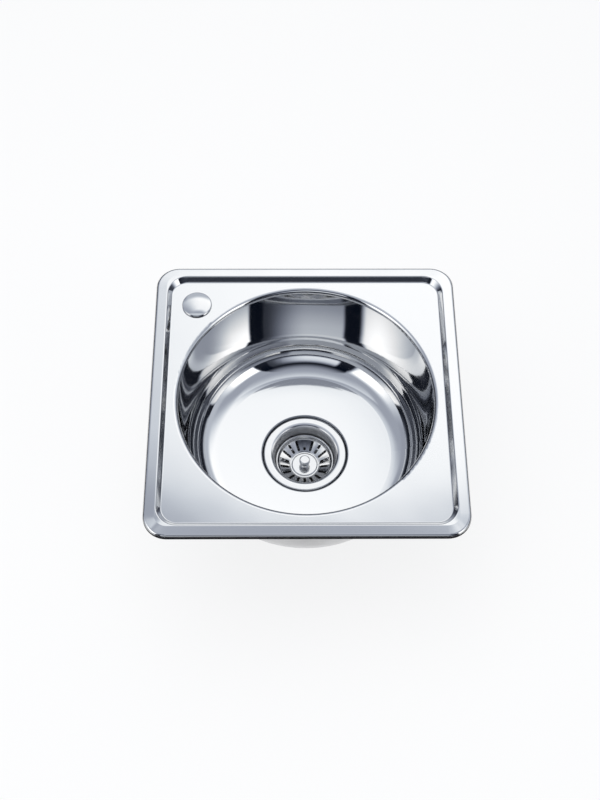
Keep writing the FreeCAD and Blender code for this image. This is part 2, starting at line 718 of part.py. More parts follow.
def tap_cap_plug():
    """Moulded plug: a plate in the dome and a slotted sleeve with barbs in the tap hole."""
    plate_z = DECK_HEIGHT + CAP_SEAL_THICKNESS
    end = plate_z - PLUG_LENGTH
    inner = plug_radius - PLUG_WALL
    plate = cylinder(plug_plate_radius, plate_z, plate_z + CAP_PLATE_THICKNESS)
    sleeve = ring(inner, plug_radius, end, plate_z)
    barb = turned([
        (inner, end),
        (plug_radius, end),
        (plug_radius + PLUG_BARB, end + PLUG_BARB_HEIGHT),
        (plug_radius, end + 2 * PLUG_BARB_HEIGHT),
        (inner, end + 2 * PLUG_BARB_HEIGHT),
    ])
    slot = Part.makeBox(
        plug_radius + PLUG_WALL,
        PLUG_SLOT_WIDTH,
        plate_z - PLUG_WALL - end,
        Vector(0, -PLUG_SLOT_WIDTH / 2, end),
    )
    plug = plate.multiFuse([sleeve, barb]).cut(Part.makeCompound(polar(slot, PLUG_LEGS))).removeSplitter()
    return moved(plug, tap_x, tap_y, 0)


def clip_along(screw_line):
    """How far along a side a clip stands, so that its lug's inner corner clears the mouth of the bowl."""
    clear_radius = bowl_mouth + CLIP_BOWL_CLEARANCE
    lug_side = screw_line - LUG_WIDTH / 2
    return sqrt(max(clear_radius ** 2 - lug_side ** 2, 0.0)) + lug_foot_end


def at_clip(shape, index):
    """A piece of a clip, modelled about its screw axis with +X outward, at one side of the sink."""
    screw_line = (half_width, half_depth)[index % 2] - CLIP_INSET
    return spun(moved(shape, screw_line, clip_along(screw_line), 0), QUARTER_TURN * index)


def strap(points, radii, thickness, width):
    """A bent strap of even thickness, from its side outline in the XZ plane, centred on Y."""
    face = sheet_face(points, radii, thickness)
    face.translate(Vector(0, -width / 2, 0))
    return face.extrude(Vector(0, width, 0))


def clip_lug():
    """Bridge lug that hangs from the underside of the deck and carries the clamp screw."""
    base_z = deck_under - LUG_DROP
    points = [
        (lug_foot_end, deck_under),
        (LUG_SPAN / 2, deck_under),
        (LUG_SPAN / 2, base_z),
        (-LUG_SPAN / 2, base_z),
        (-LUG_SPAN / 2, deck_under),
        (-lug_foot_end, deck_under),
    ]
    bridge = strap(points, [LUG_ROUND] * 4, LUG_SHEET, LUG_WIDTH)
    hole = cylinder(CLIP_SCREW_RADIUS + CLIP_SCREW_CLEARANCE, lug_base_under, base_z)
    return spun(bridge.cut(hole), QUARTER_TURN)


def clip_nut():
    """Square weld nut under the lug."""
    nut = Part.makeBox(
        CLIP_NUT_SIDE,
        CLIP_NUT_SIDE,
        CLIP_NUT_HEIGHT,
        Vector(-CLIP_NUT_SIDE / 2, -CLIP_NUT_SIDE / 2, clip_nut_under),
    )
    return nut.cut(cylinder(CLIP_SCREW_RADIUS + CLIP_SCREW_CLEARANCE, clip_nut_under, lug_base_under))


def clip_screw():
    """Clamp screw with a flanged hexagon head at its lower end."""
    flange_bottom = claw_z - CLIP_FLANGE_HEIGHT
    shank = cylinder(CLIP_SCREW_RADIUS, claw_z, clip_screw_top)
    flange = cylinder(CLIP_FLANGE_RADIUS, flange_bottom, claw_z)
    head = hexagon(CLIP_HEAD_FLATS, flange_bottom - CLIP_HEAD_HEIGHT, flange_bottom)
    return shank.multiFuse([flange, head])


def clip_claw():
    """Claw that turns on the clamp screw, stowed along the side of the sink, with a toothed tip."""
    points = [
        (-CLAW_HEEL, claw_z),
        (CLAW_REACH - CLAW_LEAN, claw_z),
        (CLAW_REACH, claw_tip_z),
    ]
    claw = strap(points, [CLAW_ROUND], CLAW_SHEET, CLAW_WIDTH)
    pitch = CLAW_WIDTH / CLAW_TEETH
    for k in range(CLAW_TEETH + 1):
        middle = k * pitch - CLAW_WIDTH / 2
        notch_corners = [
            Vector(0, middle - pitch / 2, claw_tip_z + CLAW_SHEET),
            Vector(0, middle, claw_tip_z - CLAW_TOOTH_DEPTH),
            Vector(0, middle + pitch / 2, claw_tip_z + CLAW_SHEET),
        ]
        notch = Part.Face(Part.makePolygon(notch_corners + notch_corners[:1]))
        claw = claw.cut(notch.extrude(Vector(CLAW_REACH + CLAW_SHEET, 0, 0)))
    heel_edges = [
        edge
        for edge in claw.Edges
        if edge.BoundBox.XMax < 0 and edge.BoundBox.ZLength > CLAW_SHEET / 2
    ]
    claw = claw.makeFillet(CLAW_ROUND, heel_edges)
    bore = cylinder(CLIP_SCREW_RADIUS + CLIP_SCREW_CLEARANCE, claw_z, claw_z + CLAW_SHEET)
    return spun(claw.cut(bore), QUARTER_TURN)


def clip_group(shape):
    """One piece at every clip, as separate solids of one node."""
    return Part.makeCompound([at_clip(shape, k) for k in range(CLIP_COUNT)])


def main():
    """Build every piece and write each to its own file."""
    pieces = {
        "sink_shell": sink_shell(),
        "rim_gasket": rim_gasket(),
        "sound_pad": sound_pad(),
        "strainer_cup": strainer_cup(),
        "flange_gasket": flange_gasket(),
        "lower_gasket": lower_gasket(),
        "waste_body": waste_body(),
        "insert_nut": insert_nut(),
        "centre_screw": centre_screw(),
        "screw_seal": screw_seal(),
        "basket_dish": basket_dish(),
        "basket_knob": basket_knob(),
        "basket_stem": basket_stem(),
        "stem_ring": stem_ring(),
        "basket_stopper": basket_stopper(),
        "stopper_washer": stopper_washer(),
        "stem_nut": stem_nut(),
        "tap_cap_dome": tap_cap_dome(),
        "tap_cap_seal": tap_cap_seal(),
        "tap_cap_plug": tap_cap_plug(),
        "clip_lugs": clip_group(clip_lug()),
        "clip_nuts": clip_group(clip_nut()),
    }
    for k in range(CLIP_COUNT):
        pieces[f"clip_screw_{k + 1}"] = at_clip(clip_screw(), k)
        pieces[f"clip_claw_{k + 1}"] = at_clip(clip_claw(), k)
    os.makedirs("parts", exist_ok=True)
    for name, shape in pieces.items():
        box = shape.BoundBox
        print(f"{name}: {len(shape.Solids)} solid, valid {shape.isValid()}, {shape.Volume:.1f} mm3, "
              f"z {box.ZMin:.2f} to {box.ZMax:.2f}")
        shape.exportStep(f"parts/{name}.step")


if __name__ == "__main__":
    main()
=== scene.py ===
"""Looks of a single-bowl inset kitchen sink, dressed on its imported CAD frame."""

import json
import logging
from dataclasses import dataclass, field, replace
from enum import Enum
from math import atan2, ceil, cos, hypot, pi, radians, sin
from typing import Any, ClassVar, Iterable, Optional

import bmesh
import bpy
from mathutils import Matrix, Vector


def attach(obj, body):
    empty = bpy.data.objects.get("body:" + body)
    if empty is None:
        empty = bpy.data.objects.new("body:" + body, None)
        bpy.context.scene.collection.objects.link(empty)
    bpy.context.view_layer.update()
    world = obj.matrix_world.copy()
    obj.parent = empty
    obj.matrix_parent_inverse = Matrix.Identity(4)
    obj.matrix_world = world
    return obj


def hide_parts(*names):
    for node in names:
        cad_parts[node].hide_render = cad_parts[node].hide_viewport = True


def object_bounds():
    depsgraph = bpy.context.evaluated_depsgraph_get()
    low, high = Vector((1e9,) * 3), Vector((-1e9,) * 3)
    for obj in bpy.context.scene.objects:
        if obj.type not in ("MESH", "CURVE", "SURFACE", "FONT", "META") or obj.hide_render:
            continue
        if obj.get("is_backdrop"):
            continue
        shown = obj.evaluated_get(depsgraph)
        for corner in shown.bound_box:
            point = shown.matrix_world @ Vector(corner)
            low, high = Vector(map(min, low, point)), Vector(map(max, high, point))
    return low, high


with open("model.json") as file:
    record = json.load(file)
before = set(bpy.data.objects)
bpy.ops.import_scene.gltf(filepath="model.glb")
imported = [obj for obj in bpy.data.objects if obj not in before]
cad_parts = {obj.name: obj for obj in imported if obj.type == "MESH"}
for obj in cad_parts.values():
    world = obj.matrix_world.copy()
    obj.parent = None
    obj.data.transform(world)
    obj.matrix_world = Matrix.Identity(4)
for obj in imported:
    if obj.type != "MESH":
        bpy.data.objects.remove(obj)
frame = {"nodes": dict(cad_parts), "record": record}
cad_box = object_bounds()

log = logging.getLogger("sink")

MM = 0.001
FULL_TURN = 2.0 * pi
DEGREES = 180.0 / pi
WHITE = (1.0, 1.0, 1.0, 1.0)
SQUARE = ((-1, -1), (1, -1), (1, 1), (-1, 1))
Pair = tuple[float, float]
Colour = tuple[float, float, float]


class Mixing(Enum):
    """What a Mix node mixes: its data type and the ending of its sockets' names."""

    COLOUR = ("RGBA", "Color")
    VECTOR = ("VECTOR", "Vector")


class Value:
    """A float socket that works in Python expressions, each of which adds its Math node."""

    def __init__(self, graph: "Graph", socket: bpy.types.NodeSocket) -> None:
        """Keep the socket and the graph that it belongs to."""
        self.graph = graph
        self.socket = socket

    def _math(self, operation: str, first: Any, second: Any = None) -> "Value":
        """Add one Math node.

        Args:
            operation: the Math node's operation.
            first: its first value or link.
            second: its second value or link, where it has one.

        Returns:
            The node's result.
        """
        sockets = {0: first} if second is None else {0: first, 1: second}
        return self.graph.node("ShaderNodeMath", {"operation": operation}, sockets)["Value"]

    def __add__(self, other: Any) -> "Value":
        """Sum."""
        return self._math("ADD", self, other)

    __radd__ = __add__

    def __sub__(self, other: Any) -> "Value":
        """Difference."""
        return self._math("SUBTRACT", self, other)

    def __rsub__(self, other: Any) -> "Value":
        """Difference with a number in front."""
        return self._math("SUBTRACT", other, self)

    def __mul__(self, other: Any) -> "Value":
        """Product."""
        return self._math("MULTIPLY", self, other)

    __rmul__ = __mul__

    def __truediv__(self, other: Any) -> "Value":
        """Quotient."""
        return self._math("DIVIDE", self, other)

    def __rtruediv__(self, other: Any) -> "Value":
        """Quotient with a number in front."""
        return self._math("DIVIDE", other, self)

    def __pow__(self, other: Any) -> "Value":
        """Power."""
        return self._math("POWER", self, other)

    def __rpow__(self, other: Any) -> "Value":
        """Power of a number in front."""
        return self._math("POWER", other, self)

    def __lt__(self, other: Any) -> "Value":
        """One where this is less, else zero."""
        return self._math("LESS_THAN", self, other)

    def __gt__(self, other: Any) -> "Value":
        """One where this is more, else zero, which is also a number's < with this behind it."""
        return self._math("GREATER_THAN", self, other)

    def __or__(self, other: Any) -> "Value":
        """The larger of two masks."""
        return self._math("MAXIMUM", self, other)

    __ror__ = __or__

    def __abs__(self) -> "Value":
        """Size without sign."""
        return self._math("ABSOLUTE", self)

    def cosine(self) -> "Value":
        """Cosine of an angle in radians."""
        return self._math("COSINE", self)

    def arcsine(self) -> "Value":
        """Angle in radians whose sine this is."""
        return self._math("ARCSINE", self)

    def angle_over(self, other: Any) -> "Value":
        """Angle in radians of a point, with this as its rise and the other as its run."""
        return self._math("ARCTAN2", self, other)

    def step(self, low: float, high: float, start: float = 0.0, end: float = 1.0) -> "Value":
        """Smooth step between two levels.

        Args:
            low: value below which the result is start.
            high: value above which the result is end.
            start: result below low.
            end: result above high.

        Returns:
            The stepped value.
        """
        return self.graph.node(
            "ShaderNodeMapRange",
            {"interpolation_type": "SMOOTHSTEP"},
            {"Value": self, "From Min": low, "From Max": high, "To Min": start, "To Max": end},
        )["Result"]

    def window(self, low: float, high: float, soft_low: float, soft_high: float) -> "Value":
        """One between two edges and zero outside them, with soft edges.

        Args:
            low: middle of the lower edge.
            high: middle of the upper edge.
            soft_low: half the width of the lower edge.
            soft_high: half the width of the upper edge.

        Returns:
            The mask.
        """
        rise = self.step(low - soft_low, low + soft_low)
        return rise * self.step(high - soft_high, high + soft_high, 1.0, 0.0)


class Outputs:
    """The outputs of one node, by name."""

    def __init__(self, graph: "Graph", made: bpy.types.Node) -> None:
        """Keep the node and its graph."""
        self.graph = graph
        self.made = made

    def __getitem__(self, name: str) -> Value:
        """The output of that name."""
        return Value(self.graph, self.made.outputs[name])


class Graph:
    """A node tree that is filled by expressions."""

    def __init__(self, tree: bpy.types.NodeTree) -> None:
        """Empty the tree."""
        self.tree = tree
        tree.nodes.clear()

    def node(
        self, kind: str, settings: Optional[dict] = None, sockets: Optional[dict] = None
    ) -> Outputs:
        """Add one node.

        Args:
            kind: the node's type.
            settings: its settings, set first; stops are a ramp's positions and colours.
            sockets: values or links of its inputs, by name or number.

        Returns:
            The node's outputs.
        """
        made = self.tree.nodes.new(kind)
        for key, setting in (settings or {}).items():
            if key == "stops":
                self._set_stops(made, setting)
            else:
                setattr(made, key, setting)
        for key, value in (sockets or {}).items():
            socket = made.inputs[key]
            if isinstance(value, Value):
                self.tree.links.new(value.socket, socket)
            else:
                socket.default_value = value
        return Outputs(self, made)

    @staticmethod
    def _set_stops(ramp: bpy.types.Node, stops: Iterable[tuple[float, Colour]]) -> None:
        """Give a ramp its positions and colours.

        Args:
            ramp: the colour ramp node.
            stops: its positions with their colours.
        """
        elements = ramp.color_ramp.elements
        stops = list(stops)
        while len(elements) < len(stops):
            elements.new(1.0)
        for element, (position, colour) in zip(elements, stops):
            element.position = position
            element.color = (*colour, 1.0)

    def coordinates(self, centre: Pair = (0.0, 0.0)) -> tuple[Value, Value, Value]:
        """Place on the piece in millimetres.

        Args:
            centre: the point of the sink that X and Y are counted from.

        Returns:
            X, Y and Z.
        """
        place = self.node("ShaderNodeTexCoord")["Object"]
        split = self.node("ShaderNodeSeparateXYZ", None, {"Vector": place})
        return split["X"] / MM - centre[0], split["Y"] / MM - centre[1], split["Z"] / MM

    def facing(self) -> tuple[Value, Value, Value]:
        """Direction that the surface faces.

        Returns:
            X, Y and Z of the direction.
        """
        normal = self.node("ShaderNodeTexCoord")["Normal"]
        split = self.node("ShaderNodeSeparateXYZ", None, {"Vector": normal})
        return split["X"], split["Y"], split["Z"]

    def noise(
        self, x: Any, y: Any, z: Any, detail: float = 2.0, roughness: float = 0.5
    ) -> Value:
        """Noise at a point whose coordinates are given in noise cells.

        Args:
            x: first coordinate.
            y: second coordinate.
            z: third coordinate.
            detail: octaves of the noise.
            roughness: weight of its finer octaves.

        Returns:
            The noise, from 0 to 1.
        """
        point = self.node("ShaderNodeCombineXYZ", None, {"X": x, "Y": y, "Z": z})["Vector"]
        sockets = {"Vector": point, "Scale": 1.0, "Detail": detail, "Roughness": roughness}
        return self.node("ShaderNodeTexNoise", None, sockets)["Fac"]

    def blend(
        self, share: Any, first: Any, second: Any, mixing: Mixing = Mixing.COLOUR
    ) -> Value:
        """Mix of two colours or directions.

        Args:
            share: share of the second one.
            first: colour, direction or link.
            second: colour, direction or link.
            mixing: what is mixed.

        Returns:
            The mix.
        """
        data_type, ending = mixing.value
        mixed = self.node("ShaderNodeMix", {"data_type": data_type}, {0: share}).made
        names = (f"A_{ending}", f"B_{ending}")
        sockets = [socket for socket in mixed.inputs if socket.identifier in names]
        for socket, part in zip(sockets, (first, second)):
            if isinstance(part, Value):
                self.tree.links.new(part.socket, socket)
            else:
                socket.default_value = (*part, 1.0)
        results = {socket.identifier: socket for socket in mixed.outputs}
        return Value(self, results[f"Result_{ending}"])

    def relief(self, height: Value, depth: float = 1.0, strength: float = 1.0) -> Value:
        """Bump from a height.

        Args:
            height: height of the relief.
            depth: millimetres that a height of 1 stands for.
            strength: share of the relief that shows.

        Returns:
            The bent normal.
        """
        sockets = {"Height": height, "Distance": depth * MM, "Strength": strength}
        return self.node("ShaderNodeBump", None, sockets)["Normal"]


@dataclass(frozen=True)
class Finish:
    """A procedural material that is made once and shared by the pieces that have it."""

    name: str
    made: ClassVar[dict[str, bpy.types.Material]] = {}

    def material(self) -> bpy.types.Material:
        """The material, made at its first use.

        Returns:
            The material of this finish.
        """
        if self.name not in Finish.made:
            material = bpy.data.materials.new(self.name)
            material.use_nodes = True
            graph = Graph(material.node_tree)
            shader = graph.node("ShaderNodeBsdfPrincipled", None, self.surface(graph))["BSDF"]
            graph.node("ShaderNodeOutputMaterial", None, {"Surface": shader})
            Finish.made[self.name] = material
        return Finish.made[self.name]

    def surface(self, graph: Graph) -> dict[str, Any]:
        """Values and links of the shader's sockets, which each finish gives.

        Args:
            graph: the material's graph.

        Returns:
            Socket names with their values or links.
        """
        raise NotImplementedError

    @staticmethod
    def varied(mean: float, *noises: tuple[Value, float]) -> Value:
        """A value that noises vary about its mean.

        Args:
            mean: value in the middle of all the noises.
            noises: noises from 0 to 1, each with the whole width that it adds.

        Returns:
            The varied value.
        """
        level = mean - sum(width for _, width in noises) / 2.0
        for noise, width in noises:
            level = noise * width + level
        return level

    @staticmethod
    def shaded(colour: Colour, share: float) -> Colour:
        """A darker shade of a colour."""
        return tuple(part * share for part in colour)


@dataclass(frozen=True)
class PressedSteel(Finish):
    """Stainless pressing: satin deck, glossy rim, bright bowl, dull underside, in millimetres."""

    colour: Colour = (0.737, 0.739, 0.742)
    under_colour: Colour = (0.78, 0.78, 0.785)
    under_shade: float = 0.86
    under_tilt: float = -0.2
    under_top: float = -1.5
    satin: float = 0.13
    satin_brush: float = 0.09
    satin_cloud: float = 0.05
    gloss: float = 0.07
    gloss_brush: float = 0.03
    gloss_cloud: float = 0.03
    bright: float = 0.045
    bright_cloud: float = 0.03
    dull: float = 0.34
    dull_marks: float = 0.2
    mouth: float = 167.0
    mouth_blend: float = 2.5
    deck_top: float = 1.5
    deck_blend: float = 0.4
    cloud_size: float = 42.0
    brush_width: float = 0.16
    brush_length: float = 24.0
    brush_facing: Pair = (0.75, 0.95)
    drawn_turn: float = 90.0
    drawn_length: float = 30.0
    mark_depth: float = 0.005
    sag_start: float = -50.0
    sag: float = 0.00016
    corner_sag: float = 1.3
    corner: float = 170.0
    mitre: float = 10.0
    ripple: float = 0.35
    ripple_length: float = 75.0
    groove: Pair = (57.2, 60.7)
    groove_blend: float = 0.6
    groove_top: float = -150.0
    # Painted shade in the groove round the drain flange: its darker colour, the least share of it
    # under the mottle, and the roughness added in the groove
    painted_groove_shade: Colour = (0.28, 0.3, 0.34)
    painted_shade_least: float = 0.7
    groove_roughness: float = 0.3

    def sagging(self, graph: Graph, x: Value, y: Value) -> Value:
        """Height of the deck's unevenness in millimetres.

        Args:
            graph: the material's graph.
            x: place across the sink.
            y: place along the sink.

        Returns:
            The height, with only the ripple at the back of the deck.
        """
        ahead = (self.sag_start - y) * (y < self.sag_start)
        corner = x * x * (self.corner_sag / self.corner**2) + 1.0
        ripple = graph.noise(x / self.ripple_length, y / self.ripple_length, 0.0, detail=1.0)
        return ripple * self.ripple - ahead * ahead * corner * self.sag

    def surface(self, graph: Graph) -> dict[str, Any]:
        """Values and links of the shader's sockets.

        Args:
            graph: the material's graph.

        Returns:
            Socket names with their values or links.
        """
        x, y, z = graph.coordinates()
        nx, ny, nz = graph.facing()
        radius = (x * x + y * y) ** 0.5
        inward = nz - (nx * x + ny * y) / radius
        under = (nz < self.under_tilt) | ((inward < 0.0) * (z < self.under_top))
        bowl = radius.step(self.mouth - self.mouth_blend, self.mouth + self.mouth_blend, 1.0, 0.0)
        outside = (1.0 - bowl) * (1.0 - under)
        low, high = self.deck_top - self.deck_blend, self.deck_top + self.deck_blend
        deck = z.step(low, high, 1.0, 0.0) * outside

        sizes = (self.brush_length, self.brush_width, self.brush_width)
        cells = (place / size for place, size in zip((x, y, z), sizes))
        brushed = graph.noise(*cells, detail=3.0, roughness=0.6)
        cloud = graph.noise(*(place / self.cloud_size for place in (x, y, z)))
        around, length = x.angle_over(y) * self.drawn_turn, self.drawn_length
        drawn = graph.noise(around, z / length, radius / length, detail=3.0, roughness=0.65)

        gloss = self.varied(self.gloss, (cloud, self.gloss_cloud), (brushed, self.gloss_brush))
        satin = self.varied(self.satin, (cloud, self.satin_cloud), (brushed, self.satin_brush))
        bright = self.varied(self.bright, (cloud, self.bright_cloud))
        dull = self.varied(self.dull, (drawn, self.dull_marks))
        roughness = gloss + (satin - gloss) * deck
        roughness = roughness + (bright - roughness) * bowl
        roughness = roughness + (dull - roughness) * under

        # Painted shade: the groove round the drain flange gets a darker steel colour, mottled by
        # the cloud noise, with a little more roughness
        blend = self.groove_blend
        painted_groove_shade = radius.window(*self.groove, blend, blend) * (z < self.groove_top) * (1.0 - under)
        painted_shade_mottle = cloud * (1.0 - self.painted_shade_least) + self.painted_shade_least
        steel = graph.blend(painted_groove_shade * painted_shade_mottle, self.colour, self.painted_groove_shade)
        shade = self.shaded(self.under_colour, self.under_shade)
        grey = graph.blend(drawn, shade, self.under_colour)

        level = nz.step(*self.brush_facing)
        marks = (brushed * outside * level + drawn * under) * self.mark_depth
        even = graph.relief(marks)
        uneven = graph.relief(marks + self.sagging(graph, x, y))
        side = (abs(x) + y).step(-self.mitre, self.mitre)
        bent = (deck | side) * outside
        return {
            "Base Color": graph.blend(under, steel, grey),
            "Metallic": 1.0,
            "Roughness": roughness + painted_groove_shade * self.groove_roughness,
            "Normal": graph.blend(bent, even, uneven, Mixing.VECTOR),
        }


@dataclass(frozen=True)
class TurnedSteel(Finish):
    """Polished metal that was spun or turned about an upright axis, in millimetres."""

    colour: Colour = (0.737, 0.739, 0.742)
    smear_shade: float = 0.94
    smear_size: float = 9.0
    roughness: float = 0.075
    roughness_rings: float = 0.04
    roughness_smear: float = 0.04
    centre: Pair = (0.0, 0.0)
    ring_pitch: float = 0.35
    ring_depth: float = 0.0012
    wall: float = 0.0
    wall_facing: Pair = (0.5, 0.99)
    ribs: int = 0
    rib_height: float = 0.1
    rib_band: Pair = (21.0, 35.0)
    rib_blend: float = 2.0
    dish: float = 0.0055

    def ribbed(self, x: Value, y: Value, radius: Value) -> Value:
        """Height of the ribs between the slots, in a dished band.

        Args:
            x: place across the piece.
            y: place along the piece.
            radius: distance from the axis.

        Returns:
            The height in millimetres.
        """
        inner, outer = self.rib_band
        swell = (x.angle_over(y) * float(self.ribs)).cosine() * -self.rib_height
        inset = (outer - (radius | inner)) | 0.0
        band = radius.window(inner, outer, self.rib_blend, self.rib_blend)
        return swell * band + inset * inset * self.dish

    def surface(self, graph: Graph) -> dict[str, Any]:
        """Values and links of the shader's sockets.

        Args:
            graph: the material's graph.

        Returns:
            Socket names with their values or links.
        """
        x, y, z = graph.coordinates(self.centre)
        radius = (x * x + y * y) ** 0.5
        rings = graph.noise(radius / self.ring_pitch, z / self.ring_pitch, 0.0, roughness=0.6)
        smear = graph.noise(*(place / self.smear_size for place in (x, y, z)))
        upright = graph.facing()[2].step(*self.wall_facing, 1.0, 0.0)
        widths = (rings, self.roughness_rings), (smear, self.roughness_smear)
        roughness = self.varied(self.roughness, *widths)
        height = rings * self.ring_depth
        if self.ribs:
            height = height + self.ribbed(x, y, radius)
        shade = self.shaded(self.colour, self.smear_shade)
        return {
            "Base Color": graph.blend(smear, shade, self.colour),
            "Metallic": 1.0,
            "Roughness": roughness + upright * self.wall,
            "Normal": graph.relief(height),
        }


@dataclass(frozen=True)
class ZincPlate(Finish):
    """Zinc-plated steel with the mottle of its passivation, in millimetres."""

    colour: Colour = (0.56, 0.58, 0.61)
    tint: Colour = (0.66, 0.64, 0.55)
    tint_range: Pair = (0.45, 0.75)
    roughness: float = 0.34
    roughness_mottle: float = 0.16
    roughness_grain: float = 0.08
    mottle_size: float = 5.0
    grain_size: float = 0.5
    grain_depth: float = 0.02
    grain_strength: float = 0.3

    def surface(self, graph: Graph) -> dict[str, Any]:
        """Values and links of the shader's sockets.

        Args:
            graph: the material's graph.

        Returns:
            Socket names with their values or links.
        """
        place = graph.coordinates()
        cells = (part / self.mottle_size for part in place)
        mottle = graph.noise(*cells, detail=4.0, roughness=0.6)
        grain = graph.noise(*(part / self.grain_size for part in place))
        widths = (mottle, self.roughness_mottle), (grain, self.roughness_grain)
        return {
            "Base Color": graph.blend(mottle.step(*self.tint_range), self.colour, self.tint),
            "Metallic": 1.0,
            "Roughness": self.varied(self.roughness, *widths),
            "Normal": graph.relief(grain, self.grain_depth, self.grain_strength),
        }


@dataclass(frozen=True)
class Moulding(Finish):
    """A moulded rubber, foam or plastic with grain and slow colour change, in millimetres."""

    colour: Colour
    pale: Colour
    roughness: float
    grain: float
    depth: float
    patch: float = 14.0
    patch_share: float = 0.6
    grain_strength: float = 0.5
    roughness_grain: float = 0.14
    roughness_patch: float = 0.1

    def surface(self, graph: Graph) -> dict[str, Any]:
        """Values and links of the shader's sockets.

        Args:
            graph: the material's graph.

        Returns:
            Socket names with their values or links.
        """
        place = graph.coordinates()
        fine = graph.noise(*(part / self.grain for part in place), detail=3.0, roughness=0.6)
        patch = graph.noise(*(part / self.patch for part in place))
        paleness = patch * self.patch_share + fine * (1.0 - self.patch_share)
        widths = (fine, self.roughness_grain), (patch, self.roughness_patch)
        return {
            "Base Color": graph.blend(paleness, self.colour, self.pale),
            "Roughness": self.varied(self.roughness, *widths),
            "Normal": graph.relief(fine, self.depth, self.grain_strength),
        }


class Finishes(Enum):
    """The finishes that the sink's groups of pieces share."""

    PRESSING = PressedSteel("PressedSteel")
    WASTE = TurnedSteel("waste_steel", wall=0.4)
    BASKET = TurnedSteel("basket_steel", roughness=0.15, ribs=18)
    CAP = TurnedSteel("cap_steel", roughness=0.06, centre=(-145.0, 142.0))
    BRASS = TurnedSteel("turned_brass", colour=(0.72, 0.55, 0.26), roughness=0.2)
    RUBBER = Moulding(
        "black_rubber", (0.018, 0.018, 0.02), (0.04, 0.04, 0.042), 0.55, grain=0.6, depth=0.03
    )
    FOAM = Moulding(
        "foam_strip", (0.03, 0.03, 0.033), (0.075, 0.075, 0.08), 0.9, grain=1.1, depth=0.2
    )
    CARD = Moulding(
        "black_card", (0.006, 0.006, 0.008), (0.014, 0.014, 0.016), 0.9, grain=2.0, depth=0.05
    )
    PAD = Moulding(
        "damping_pad", (0.1, 0.1, 0.105), (0.16, 0.16, 0.165), 0.85, grain=1.6, depth=0.12
    )
    PLASTIC = Moulding(
        "white_moulding", (0.74, 0.745, 0.74), (0.82, 0.82, 0.81), 0.42, grain=0.45, depth=0.02
    )
    ZINC = ZincPlate("zinc_plate")


@dataclass(frozen=True)
class Thread:
    """A screw thread to cut into the plain round shank of a CAD piece, in millimetres.

    The profile runs over one pitch, as shares of the pitch with shares of the full depth.
    """

    axis: Pair
    crest: float
    low: float
    high: float
    pitch: float
    depth: float
    profile: tuple[Pair, ...] = ((0.0, 1.0), (0.1, 1.0), (0.45, 0.0), (0.65, 0.0))
    near: float = 0.02
    snap: float = 0.05
    weld: float = 0.002
    speck: float = 0.0001
    digits: int = 4

    def _plain(self, face: bmesh.types.BMFace) -> bool:
        """Whether a face is on the plain shank.

        Args:
            face: a face of the piece.

        Returns:
            True for a long face at the crest's radius.
        """
        corners = [vert.co / MM for vert in face.verts]
        heights = [corner.z for corner in corners]
        reach = [hypot(corner.x - self.axis[0], corner.y - self.axis[1]) for corner in corners]
        on_shank = all(abs(radius - self.crest) < self.near for radius in reach)
        return on_shank and max(heights) - min(heights) > self.pitch

    def _turn(self, vert: bmesh.types.BMVert) -> float:
        """Angle of a corner about the axis, from 0 to a full turn."""
        turn = atan2(vert.co.y / MM - self.axis[1], vert.co.x / MM - self.axis[0])
        return round(turn % FULL_TURN, self.digits) % round(FULL_TURN, self.digits)

    def _rows(self, turn: float, start: float, end: float) -> list[Pair]:
        """Rows of the thread at one angle.

        Args:
            turn: angle about the axis.
            start: lower end of the shank.
            end: upper end of the shank.

        Returns:
            Heights on the shank, with shares of the full depth.
        """
        rows = []
        for lap in range(-1, ceil((end - start) / self.pitch) + 1):
            for phase, share in self.profile:
                height = start + (lap + phase + turn / FULL_TURN) * self.pitch
                if height < start + self.snap:
                    height = start
                elif height > end - self.snap:
                    height = end
                rows.append((height, share))
        return rows

    def _point(self, turn: float, height: float, share: float) -> Vector:
        """A point of the thread.

        Args:
            turn: angle about the axis.
            height: place along the axis.
            share: share of the full depth, which runs out at both ends.

        Returns:
            The point in metres.
        """
        run_out = min(max(min(height - self.low, self.high - height) / self.pitch, 0.0), 1.0)
        radius = self.crest - self.depth * share * run_out
        x, y = self.axis
        return Vector((x + radius * cos(turn), y + radius * sin(turn), height)) * MM

    def cut(self, shape: bmesh.types.BMesh) -> None:
        """Put a helical thread in place of the plain shank.

        Args:
            shape: the piece's mesh, in metres.
        """
        plain = [face for face in shape.faces if self._plain(face)]
        ring = {vert for face in plain for vert in face.verts}
        start, end = (pick(vert.co.z / MM for vert in ring) for pick in (min, max))
        turns = sorted({self._turn(vert) for vert in ring})
        bmesh.ops.delete(shape, geom=plain, context="FACES")
        columns = [
            [shape.verts.new(self._point(turn, *row)) for row in self._rows(turn, start, end)]
            for turn in (*turns, turns[0] + FULL_TURN)
        ]
        for left, right in zip(columns, columns[1:]):
            for k in range(len(left) - 1):
                shape.faces.new((left[k], right[k], right[k + 1], left[k + 1]))
        bmesh.ops.remove_doubles(shape, verts=shape.verts[:], dist=self.weld * MM)
        bmesh.ops.dissolve_degenerate(shape, edges=shape.edges[:], dist=self.speck * MM)
        bmesh.ops.recalc_face_normals(shape, faces=shape.faces[:])


